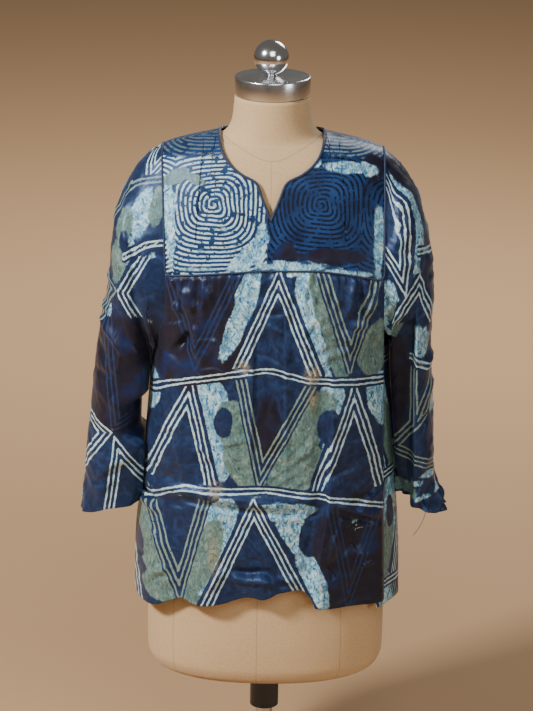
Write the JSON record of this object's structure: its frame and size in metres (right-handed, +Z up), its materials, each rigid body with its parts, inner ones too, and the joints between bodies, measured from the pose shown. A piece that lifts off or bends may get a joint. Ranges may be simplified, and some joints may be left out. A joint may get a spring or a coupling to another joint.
{
  "type": "tunic top on dress form",
  "caption": "Loose pull-on tunic top with a square yoke, notched round neck, gathered body and open three-quarter sleeves, resting on a limbless dress form on a round stand.",
  "frame": {"origin": "on the floor under the middle of the stand's round base", "axes": "+Z up, the garment's front faces -Y, +X is the viewer's right when looking at the front"},
  "size_m": [0.525, 0.38, 1.125],
  "materials": {
    "form_cover": "matte woven cover",
    "cap_metal": "polished",
    "knob_metal": "polished",
    "collar_metal": "satin",
    "pole_metal": "polished",
    "base_metal": "satin",
    "yoke_front_print": "soft resist-printed cloth",
    "yoke_back_print": "soft resist-printed cloth",
    "front_panel_print": "soft resist-printed cloth",
    "back_panel_print": "soft resist-printed cloth",
    "sleeve_left_print": "soft resist-printed cloth",
    "sleeve_right_print": "soft resist-printed cloth",
    "binding_cloth": "matte bias binding",
    "front_piping_cloth": "matte corded piping",
    "back_piping_cloth": "matte corded piping"
  },
  "bodies": {
    "root": {"form_body": "form_cover", "neck_cap": "cap_metal", "cap_knob": "knob_metal", "stand_collar": "collar_metal", "stand_pole": "pole_metal", "stand_base": "base_metal", "yoke_front": "yoke_front_print", "yoke_back": "yoke_back_print", "front_panel": "front_panel_print", "back_panel": "back_panel_print", "sleeve_left": "sleeve_left_print", "sleeve_right": "sleeve_right_print", "neck_binding": "binding_cloth", "yoke_piping_front": "front_piping_cloth", "yoke_piping_back": "back_piping_cloth"}
  },
  "joints": []
}
